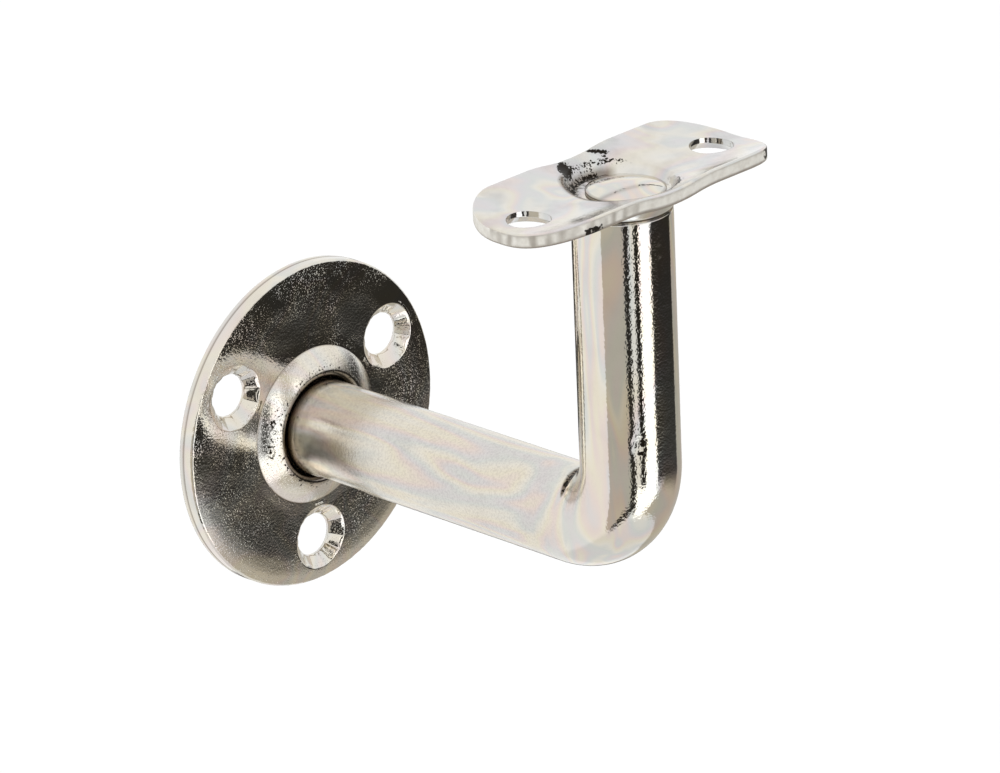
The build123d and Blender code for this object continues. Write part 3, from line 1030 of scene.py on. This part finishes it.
def perforated(surface, level, inner, outer, hole_radius):
    """One face of the plate between two radii. Returns each hole's ring of points."""
    count = len(WALL_HOLE_ANGLES)
    gap_columns = AROUND_PLATE // count - PATCH_COLUMNS + 2
    rings = []
    for middle in WALL_HOLE_ANGLES:
        ends = (middle + PATCH_HALF_ANGLE, middle + 360 / count - PATCH_HALF_ANGLE)
        gap = np.linspace(*ends, gap_columns)
        radii = np.linspace(inner, outer, PATCH_ROWS)
        surface.grid(lay([turned(radius, gap) for radius in radii], level))
        outline = patch_outline(middle, inner, outer)
        centre = turned(WALL_HOLE_CIRCLE_RADIUS, middle)
        angles, circle = directions(outline - centre)
        wide = centre + (hole_radius + HOLE_MARGIN) * circle
        rows = mixed(outline, wide, np.linspace(0, 1, PATCH_RINGS))
        rows += [centre + hole_radius * circle * grow for grow in HOLE_RIMS]
        surface.grid(lay(rows, level), wrap=True)
        rings.append((centre, angles, lay(rows[-1], level)))
    return rings


def countersinks(surface, front_rings, back_rings):
    """Cone and bore of each screw hole, from the plate's face to its back."""
    throat_level = PLATE_DEPTH - (WALL_SINK_RADIUS - WALL_HOLE_RADIUS)
    bore_levels = [throat_level - step for step in BORE_STEPS] + [PLATE_BACK + BORE_STEPS[0], PLATE_BACK]
    for number, (centre, angles, mouth) in enumerate(front_rings):
        circle = np.stack([np.cos(angles), 0 * angles, np.sin(angles)], -1)
        bore = np.array([centre[0], 0, centre[1]]) + WALL_HOLE_RADIUS * circle
        throat = bore - np.array([0, throat_level, 0])
        place = (mouth[:, 0], 0.0, mouth[:, 2])
        scratches = SCRATCH_DEPTH * ripple(place, SCRATCH_SIZE, SCRATCH_SEED + number)
        marks = (1 - faceted(1.0, angles, number)) * WALL_SINK_RADIUS * CHATTER - scratches
        rows = []
        for share, row in zip(CONE_SHARES, mixed(mouth, throat, CONE_SHARES)):
            strength = min(1.0, share / CONE_FADES[0], (1 - share) / CONE_FADES[1])
            rows.append(row - circle * np.reshape(strength * marks, (-1, 1)))
        rows += [bore - np.array([0, level, 0]) for level in bore_levels]
        surface.grid(rows, wrap=True)
        surface.grid([rows[-1], back_rings[number][2]], wrap=True)


def jagged(rows):
    """The plate's front edge with the small jags that the press tool leaves."""
    radius = np.hypot(rows[..., 0], rows[..., 2])
    level = -rows[..., 1]
    near = bump_at(radius - PLATE_RADIUS + JAGS_INSET[0], JAGS_HALVES[0])
    near = near * bump_at(level - EDGE_LEVEL + JAGS_INSET[1], JAGS_HALVES[1])
    near = np.where(radius < PLATE_RADIUS - RIM_FRONT_ROUND + PLAY, 0, near)
    jags = ripple((rows[..., 0], 0.0, rows[..., 2]), *JAGS_RIPPLE)
    rows[..., 1] += RIM_JAGS * near * (1 + jags)
    return rows


def plate_grime(x, y, z):
    """Where the plate carries black specks: on the collar's crest and on its left flank."""
    radius = np.hypot(x, z)
    crest = soft_line(radius - MOUTH_RADIUS, *CREST_GRIME)
    flank = soft_line(radius, *FLANK_GRIME) * sector(np.degrees(np.arctan2(z, x)), *FLANK_SECTOR)
    return np.maximum(crest, flank) * (y < -FLANK_FROM)


def plate_shade(x, y, z):
    """Where the plate is brown with painted shade: in the shear groove round its rim, in its crease and
    in the mouth.
    """
    radius = np.hypot(x, z)
    rim = soft_line(-y, *RIM_SHADE) * (radius > PLATE_RADIUS - RIM_SHADE_DEPTH)
    mouth = (MOUTH_RADIUS + MOUTH_SHADE_REACH - radius) / MOUTH_SHADE_FADE
    mouth = np.clip(mouth, 0, MOUTH_DARKEST) * (y < -MOUTH_SHADE_FROM)
    crease = soft_line(radius, *CREASE_SHADE) * (y < -CREASE_SHADE_FROM)
    return np.maximum(np.maximum(rim, mouth), crease)


def plate_satin(x, y, z):
    """Where the plate is satin: on its collar."""
    inside = (CREASE_RADIUS + COLLAR_SATIN_PAST - np.hypot(x, z)) / COLLAR_SATIN_FADE
    return COLLAR_SATIN * np.clip(inside, 0, 1)


def plate_peel(x, y, z):
    """Where the plate's face is rough enough to sparkle."""
    radius = np.hypot(x, z)
    slow = PEEL_SLOW * ripple((x, 0.0, z), *PEEL_SLOW_RIPPLE)
    clusters = PEEL_CLUSTERS * ripple((x, 0.0, z), *PEEL_CLUSTER_RIPPLE)
    share = np.clip(PEEL_MEAN + slow + clusters, PEEL_LEAST, 1)
    return (y < -PEEL_FROM) * np.where(radius > CREASE_RADIUS, share, COLLAR_PEEL * (radius > LIP_RADIUS))


def flattened(point):
    """A point of the collar's round flank, moved most of the way to a straight cone."""
    radius, level = point
    share = (CREASE_RADIUS - radius) / (CREASE_RADIUS - LIP_RADIUS)
    cone = PLATE_DEPTH + (COLLAR_CREST - PLATE_DEPTH) * share
    return radius, level * (1 - CONE_SHARE) + cone * CONE_SHARE


def rim_section():
    """Section of the plate's rim, from its face round its edge to the hollow back."""
    edge, back_edge = PLATE_RADIUS - RIM_FRONT_ROUND, PLATE_RADIUS - RIM_BACK_ROUND
    corner = (edge, EDGE_LEVEL - RIM_FRONT_ROUND)
    levels = np.linspace(corner[1] - SIDE_MARGINS[0], SIDE_MARGINS[1], SIDE_ROWS)
    shares = bump_at(levels - RIM_GROOVE_LEVEL, RIM_GROOVE_HALF)
    return [
        (edge, EDGE_LEVEL),
        *round_corner(corner, RIM_FRONT_ROUND, FRONT_ROUND_FIRST, 0, FRONT_ROUND_ROWS),
        *zip(PLATE_RADIUS - RIM_GROOVE_DEPTH * shares, levels),
        *round_corner((back_edge, RIM_BACK_ROUND), RIM_BACK_ROUND, 0, -90, BACK_ROUND_ROWS),
        (RIM_INSIDE + BESIDE, 0.0),
        (RIM_INSIDE, 0.0),
        (RIM_INSIDE, BESIDE),
        (RIM_INSIDE, PLATE_BACK - BESIDE),
        (RIM_INSIDE, PLATE_BACK),
        (RIM_INSIDE - BESIDE, PLATE_BACK),
        (BACK_FACE[1], PLATE_BACK),
    ]


def collar_section():
    """Section of the collar, from the face's crease over its lip to the groove behind it."""
    reach, drop = CREASE_RADIUS - LIP_RADIUS, COLLAR_CREST - PLATE_DEPTH
    bow = (reach**2 + drop**2) / (2 * drop)
    first = 90 - math.degrees(math.asin(reach / bow))
    flank = round_corner((LIP_RADIUS, COLLAR_CREST - bow), bow, first, 90, FLANK_ROWS)
    return [
        *(flattened(point) for point in flank),
        *round_corner((LIP_RADIUS, COLLAR_CREST - LIP_ROUND), LIP_ROUND, 90, 180, LIP_ROWS)[1:],
        (MOUTH_RADIUS, SEAT_HEIGHT),
        (WALL_BORE_RADIUS, SEAT_HEIGHT),
        (WALL_BORE_RADIUS, SEAT_BACK),
        (GROOVE_START - BESIDE, SEAT_BACK),
        *arc_through((GROOVE_START, SEAT_BACK), GROOVE_CREST, (GROOVE_END, PLATE_BACK), GROOVE_ROWS),
        (GROOVE_END + BESIDE, PLATE_BACK),
        (BACK_FACE[0], PLATE_BACK),
    ]


def make_plate():
    """Pressed disc with rim, rolled collar and countersunk screw holes, as one closed skin."""
    surface = Surface()
    degrees = np.linspace(0, 360, AROUND_PLATE, endpoint=False) + WALL_HOLE_ANGLES[0] - PATCH_HALF_ANGLE
    front_rings = perforated(surface, face_level, *FRONT_FACE, WALL_SINK_RADIUS)
    back_rings = perforated(surface, even(PLATE_BACK), *BACK_FACE, WALL_HOLE_RADIUS)
    countersinks(surface, front_rings, back_rings)
    outside = np.linspace(FACE_END, PLATE_RADIUS - RIM_FRONT_ROUND, FACE_END_RINGS)
    for radii in ((*CREASE_RINGS, FRONT_FACE[0]), (FRONT_FACE[1], *outside)):
        surface.grid(lay([turned(radius, degrees) for radius in radii], face_level), wrap=True)
    for section in (rim_section(), collar_section()):
        rows = [lay(turned(radius, degrees), even(level)) for radius, level in section]
        surface.grid(jagged(np.array(rows)), wrap=True)
    return surface.build("wall_plate_skin")


def sag(x):
    """How far the riveting has pressed the saddle's middle down."""
    away = np.minimum(np.abs(x), SAG_REACH)
    bow = (SAG_REACH**2 + SAG_DEPTH**2) / (4 * SAG_DEPTH)
    near = SAG_DEPTH - (bow - np.sqrt(bow**2 - np.minimum(away, SAG_REACH / 2) ** 2))
    far = bow - np.sqrt(bow**2 - (SAG_REACH - np.maximum(away, SAG_REACH / 2)) ** 2)
    return np.where(away < SAG_REACH / 2, near, far)


def trough(x, y, radius):
    """Height of the sagged trough's upper or under side."""
    floor = TROUGH_RADIUS - radius
    return floor - sag(x) + radius - np.sqrt(radius**2 - y**2)


def under_side(x, y):
    """Height of the saddle's under side."""
    return trough(x, y, TROUGH_RADIUS + SHEET)


def soft_less(first, second, play):
    """The lesser of two heights, with a rounded change from one to the other."""
    mixed = np.clip(0.5 + 0.5 * (second - first) / play, 0, 1)
    return second * (1 - mixed) + first * mixed - play * mixed * (1 - mixed)


def soft_more(first, second, play):
    """The greater of two heights, with a rounded change from one to the other."""
    return -soft_less(-first, -second, play)


def upper_side(x, y):
    """Height of the saddle's upper side, with the dish, its torn wall and some dents."""
    away = np.hypot(x, y)
    wall = DISH_FLOOR + (away - DISH_FOOT) / DISH_SLOPE
    dish = soft_more(np.full_like(away, DISH_FLOOR), wall, DISH_FOOT_PLAY)
    height = soft_less(trough(x, y, TROUGH_RADIUS), dish, DISH_RIM_PLAY)
    coarse, fine = (ripple((x, y, 0.0), size, seed) for size, seed in TORN_RIPPLES)
    off = degrees_signed(np.degrees(np.arctan2(y, x)) - TORN_SIDE)
    torn = TORN_LEAST + (1 - TORN_LEAST) * bump_at(off, TORN_SIDE_HALF)
    ring = bump_at(away - TORN_RING[0], TORN_RING[1]) * TORN_DEPTH
    height = height + ring * torn * (coarse + TORN_FINE * fine)
    for middle, halves, slant, _ in SADDLE_BLOTS:
        height = height - BLOT_DEPTH * blot(x, y, middle, halves, slant)
    return np.minimum(height, SADDLE_RIM)


def beyond_dish(x, y):
    """How far outside the rim of the dish a point of the upper side lies."""
    top = trough(x, np.clip(y, -DISH_RIM_REACH, DISH_RIM_REACH), TROUGH_RADIUS)
    return np.hypot(x, y) - (DISH_FOOT + (top - DISH_FLOOR) * DISH_SLOPE)


def saddle_dark(x, y, z):
    """Where the saddle is dark: the torn wall of its dish, painted shade along its rim, its blots and its
    sheared edge.
    """
    y = y + LEG_DISTANCE
    away, turn = np.hypot(x, y), np.degrees(np.arctan2(y, x))
    stroke, part = DISH_WALL_DARK
    grime_and_shade = band(away, *stroke) * sector(turn, *part)
    for stroke, part in DISH_RIM_DARK_SHADE:
        grime_and_shade = np.maximum(grime_and_shade, soft_line(beyond_dish(x, y), *stroke) * sector(turn, *part))
    for middle, halves, slant, dark in SADDLE_BLOTS:
        grime_and_shade = np.maximum(grime_and_shade, dark * np.sqrt(blot(x, y, middle, halves, slant)))
    low = z - TROUGH_FLOOR - under_side(x, y)
    patch = np.sqrt(np.clip(1 - ((x - EDGE_PATCH_PLACE) / EDGE_PATCH_HALF) ** 2, 0, 1))
    patch = EDGE_PATCH_DARK * patch * (low < EDGE_PATCH_TOP) * (y < -SADDLE_HALF_WIDTH + EDGE_MARGIN)
    wedge = EDGE_WEDGE_DARK * np.sqrt(blot(x, y, *EDGE_WEDGE)) * (away > EDGE_WEDGE_FROM)
    wedge = wedge * (low > EDGE_WEDGE_LEVELS[0]) * (low < EDGE_WEDGE_LEVELS[1])
    return np.maximum(np.maximum(grime_and_shade * (z > ON_TOP_FROM), patch), wedge)


def saddle_shade(x, y, z):
    """Where the saddle is brown with painted shade: round its dish and in lines along its edge; also
    streaks on its edge.
    """
    y = y + LEG_DISTANCE
    turn = np.degrees(np.arctan2(y, x))
    shade = 0 * x
    for shape, distance, (stroke, part) in (
        (soft_line, beyond_dish(x, y), DISH_RIM_SHADE),
        (soft_line, np.hypot(x, y), DISH_FOOT_SHADE),
        (band, np.hypot(x, y), DISH_WALL_SHADE),
    ):
        shade = np.maximum(shade, shape(distance, *stroke) * sector(turn, *part))
    low = z - TROUGH_FLOOR - under_side(x, y)
    past_length = np.maximum(np.abs(x) - (SADDLE_HALF_LENGTH - SADDLE_CORNER), 0)
    past_width = np.maximum(np.abs(y) - (SADDLE_HALF_WIDTH - SADDLE_CORNER), 0)
    outside = (np.hypot(past_length, past_width) > SADDLE_CORNER - EDGE_MARGIN) & (low < EDGE_TOP)
    streaks = STREAK_MEAN + STREAK_CONTRAST * ripple((x, y, STREAK_STRETCH * low), *STREAK_RIPPLE)
    streaks = STREAK_DARK * np.clip(streaks, 0, 1) * (x < STREAK_ENDS[0]) * (y < STREAK_ENDS[1])
    edge = np.maximum(soft_line(low, *EDGE_FOOT_SHADE), soft_line(low, *EDGE_HEAD_SHADE) * (y < 0))
    return np.maximum(shade * (z > ON_TOP_FROM), np.maximum(edge, streaks) * outside)


def saddle_outline():
    """Outline inset by the rounded edge, in four stretches that end where the seams meet it."""
    half_length = SADDLE_HALF_LENGTH - SADDLE_EDGE
    half_width = SADDLE_HALF_WIDTH - SADDLE_EDGE
    corner = SADDLE_CORNER - SADDLE_EDGE
    straight = half_length - corner
    outer = np.linspace(SEAM, straight, STRAIGHT_POINTS)
    flat = np.linspace(-(half_width - corner), half_width - corner, END_POINTS)
    quarter = np.linspace(0, math.pi / 2, CORNER_POINTS)

    def arc(turns, side):
        y = side * (half_width - corner) + corner * np.sin(turns)
        return np.stack([straight + corner * np.cos(turns), y], -1)

    right = np.vstack([
        np.stack([outer, -half_width + 0 * outer], -1)[:-1],
        arc(quarter + 1.5 * math.pi, -1)[:-1],
        np.stack([half_length + 0 * flat, flat], -1)[:-1],
        arc(quarter, 1)[:-1],
        np.stack([outer, half_width + 0 * outer], -1)[::-1],
    ])
    inner = np.linspace(-SEAM, SEAM, SEAM_ROWS)
    middle_top = np.stack([inner[::-1], half_width + 0 * inner], -1)
    middle_low = np.stack([inner, -half_width + 0 * inner], -1)
    return right, middle_top, -right, middle_low


def seam_line(x, upward):
    """Points of the seam across the saddle at one place along it."""
    half_width = SADDLE_HALF_WIDTH - SADDLE_EDGE
    y = np.linspace(-half_width, half_width, SEAM_ROWS)
    return np.stack([x + 0 * y, y if upward else y[::-1]], -1)


def cell_rows(outline, centre, radii, rings):
    """Rows from an outline to the circles round a centre."""
    _, circle = directions(outline - centre)
    rows = mixed(outline, centre + radii[0] * circle, np.linspace(0, 1, rings))
    return rows + [centre + radius * circle for radius in radii[1:]]


def stand(flat, height):
    """Points of a flat grid, raised to a side of the saddle and put in its place."""
    flat = np.asarray(flat)
    x, y = flat[..., 0], flat[..., 1]
    return np.stack([x, y - LEG_DISTANCE, TROUGH_FLOOR + height(x, y)], -1)


def bulge_rows(foot_row):
    """Rows of the bulge under the dish, from the bore out to the under side."""
    _, circle = directions(foot_row)
    low = DISH_FLOOR - SHEET
    middle = (BULGE_RADIUS - BULGE_ROUND_IN, low + BULGE_ROUND)
    section = [(radius, low) for radius in BULGE_FOOT_RADII]
    section += round_corner(middle, BULGE_ROUND, -90, BULGE_ROUND_LAST, BULGE_ROUND_ROWS)
    rows = [stand(radius * circle, even(height)) for radius, height in section]
    return rows + mixed(rows[-1], stand(foot_row, under_side), BULGE_FLARE_SHARES)


def hole_wall(upper, under, centre):
    """Wall of a screw hole: a straight bore, then the countersink from below."""
    middle = centre + np.array([0, -LEG_DISTANCE])
    throat = under.copy()
    throat[:, :2] = middle + (under[:, :2] - middle) * SADDLE_HOLE_RADIUS / SADDLE_SINK_RADIUS
    throat[:, 2] += SADDLE_SINK_RADIUS - SADDLE_HOLE_RADIUS
    return mixed(upper, throat, THROAT_SHARES) + mixed(throat, under, SINK_SHARES)


def edge_corner(face, out, sign):
    """Rows round one rounded corner of the saddle's edge, from its face outward."""
    rows = []
    for turn in np.radians(np.linspace(0, 90, EDGE_CORNER_ROWS)):
        row = face.copy()
        row[:, :2] += SADDLE_EDGE * math.sin(turn) * out
        row[:, 2] += sign * SADDLE_EDGE * (1 - math.cos(turn))
        rows.append(row)
    return rows


def edge_rows(outline):
    """Rows round the saddle's edge, from its upper to its under side."""
    ahead = np.roll(outline, -1, 0) - np.roll(outline, 1, 0)
    ahead /= np.linalg.norm(ahead, axis=1, keepdims=True)
    out = np.stack([ahead[:, 1], -ahead[:, 0]], -1)
    upper = edge_corner(stand(outline, upper_side), out, -1)
    under = edge_corner(stand(outline, under_side), out, 1)[::-1]
    return upper + mixed(upper[-1], under[0], EDGE_SHARES) + under


def make_saddle():
    """Trough-shaped plate with its dish, bulge and screw holes, as one closed skin."""
    surface = Surface()
    right, top, left, low = saddle_outline()
    for stretch, seam, sign in ((right, seam_line(SEAM, False), 1), (left, seam_line(-SEAM, True), -1)):
        outline = np.vstack([stretch[:-1], seam[:-1]])
        centre = np.array([sign * SADDLE_HOLE_PLACE, 0.0])
        upper = stand(cell_rows(outline, centre, UPPER_HOLE_RINGS, UPPER_CELL), upper_side)
        under = stand(cell_rows(outline, centre, UNDER_HOLE_RINGS, UNDER_CELL), under_side)
        surface.grid(upper, wrap=True)
        surface.grid(under, wrap=True)
        surface.grid(hole_wall(upper[-1], under[-1], centre), wrap=True)
    middle = np.vstack([top[:-1], seam_line(-SEAM, False)[:-1], low[:-1], seam_line(SEAM, True)[:-1]])
    upper = stand(cell_rows(middle, np.zeros(2), DISH_RINGS, MIDDLE_CELL), upper_side)
    surface.grid(upper, wrap=True)
    under = cell_rows(middle, np.zeros(2), BULGE_RINGS, MIDDLE_CELL)
    surface.grid(stand(under, under_side), wrap=True)
    bulge = bulge_rows(under[-1])
    surface.grid(bulge, wrap=True)
    surface.grid([upper[-1], bulge[0]], wrap=True)
    surface.grid(edge_rows(np.vstack([right[:-1], top[:-1], left[:-1], low[:-1]])), wrap=True)
    return surface.build("saddle_skin")


def dress(piece, node, *metals):
    """Lets a new piece stand for a CAD node, on the part's one body."""
    for metal in metals:
        piece.data.materials.append(metal)
    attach(piece, "root")
    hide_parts(node)


def mark_edge(mesh):
    """Gives the saddle's cut edge, whose faces look sideways, its own metal."""
    for face in mesh.polygons:
        x, y, _ = face.center / MM
        y = y + LEG_DISTANCE
        outside = abs(y) > SADDLE_HALF_WIDTH - CUT_MARGIN or math.hypot(x, y) > CUT_FROM
        if outside and abs(face.normal.z) < CUT_TURN and not in_hole(x, y):
            face.material_index = 1


def in_hole(x, y):
    """Whether a place of the saddle lies in one of its screw holes."""
    return math.hypot(abs(x) - SADDLE_HOLE_PLACE, y) < SADDLE_SINK_RADIUS + CUT_MARGIN


def dress_nodes():
    """Makes the detailed pieces and gives each its paint and its metal."""
    plate, arm, saddle = make_plate(), make_arm(), make_saddle()
    paints = (
        (plate, {"grime_and_shade": plate_grime, "shade": plate_shade, "satin": plate_satin, "peel": plate_peel}),
        (arm, {"grime_and_shade": arm_dark_shade, "shade": arm_shade, "satin": arm_satin, "peel": arm_peel}),
        (saddle, {"grime_and_shade": saddle_dark, "shade": saddle_shade}),
    )
    for piece, rules in paints:
        for name, rule in rules.items():
            paint(piece, name, rule)
    plate_metal = plated("plate_plating", PLATING, PLATE_GRAIN, film=0.35, gloss=(0.05, 0.09), cloudy=0.3)
    arm_metal = plated(
        "arm_plating", PLATING, ARM_GRAIN, film=0.55, gloss=(0.03, 0.07), cloudy=0.2, along_bar=True
    )
    saddle_metal = plated(
        "saddle_plating", SADDLE_PLATING, SADDLE_GRAIN, film=0.45, gloss=(0.08, 0.16), cloudy=0.8
    )
    dress(plate, "wall_plate", plate_metal)
    dress(arm, "arm", arm_metal)
    dress(saddle, "saddle", saddle_metal, sheared("saddle_edge", EDGE_COLOUR))
    mark_edge(saddle.data)


make_camera()
light_world()
make_floor()
dress_nodes()
bpy.context.scene.view_settings.view_transform = "Standard"
